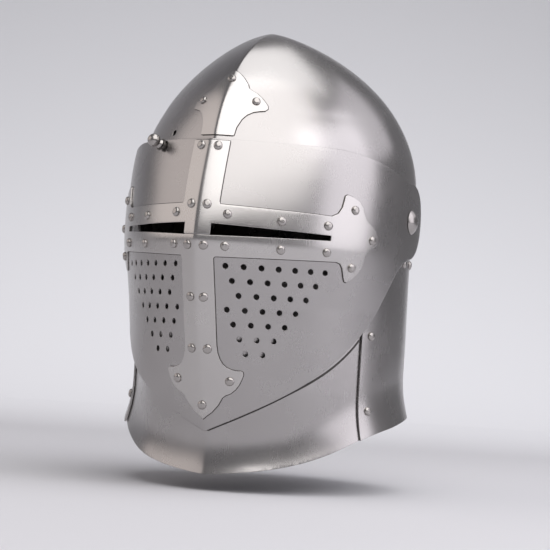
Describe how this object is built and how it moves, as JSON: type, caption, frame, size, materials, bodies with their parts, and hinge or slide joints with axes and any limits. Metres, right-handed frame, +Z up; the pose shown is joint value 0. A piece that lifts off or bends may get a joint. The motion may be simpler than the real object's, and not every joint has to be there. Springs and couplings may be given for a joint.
{
  "type": "knight helmet",
  "caption": "Steel close helmet: pointed ridged skull, lifting visor with raised cross, sight slits and breath holes, chin plate and flared neck plate.",
  "frame": {"origin": "middle of the line between the two visor pivots, which is the middle of the head", "axes": "+X to the wearer's left along the pivot line, -Y to the face, +Z up through the point of the skull"},
  "size_m": [0.227, 0.2769, 0.3283],
  "materials": {
    "plate_steel": "satin polished plate",
    "trim_steel": "satin polished cut plate",
    "rivet_steel": "domed and filed",
    "dark_steel": "oiled",
    "lining_cloth": "quilted linen",
    "band_leather": "waxed"
  },
  "bodies": {
    "skull": {"skull_shell": "plate_steel", "crest_fleur": "trim_steel", "crest_rivets": "rivet_steel", "neck_plate": "plate_steel", "neck_rivets": "rivet_steel", "bevor": "plate_steel", "seam_rivets_left": "rivet_steel", "seam_rivets_right": "rivet_steel", "pivot_bolt_left": "rivet_steel", "pivot_bolt_right": "rivet_steel", "pivot_spacer_left": "dark_steel", "pivot_spacer_right": "dark_steel", "pivot_nut_left": "dark_steel", "pivot_nut_right": "dark_steel", "liner_cap": "lining_cloth", "liner_band": "band_leather"},
    "visor": {"visor_plate": "plate_steel", "visor_cross": "trim_steel", "bar_rivets": "rivet_steel", "side_fleur_rivets": "rivet_steel", "base_fleur_rivets": "rivet_steel", "visor_bush_left": "dark_steel", "visor_bush_right": "dark_steel", "catch_bush": "dark_steel"},
    "catch": {"catch_pin": "rivet_steel", "catch_knob": "rivet_steel"}
  },
  "joints": [
    {"name": "visor_lift", "type": "hinge", "parent": "skull", "child": "visor", "pos_m": [0, 0, 0], "axis": [-1, 0, 0], "range_deg": [0, 50]},
    {"name": "catch_pull", "type": "slide", "parent": "visor", "child": "catch", "axis": [-0.5586, -0.7267, 0.3999], "range_m": [0, 0.003]}
  ]
}
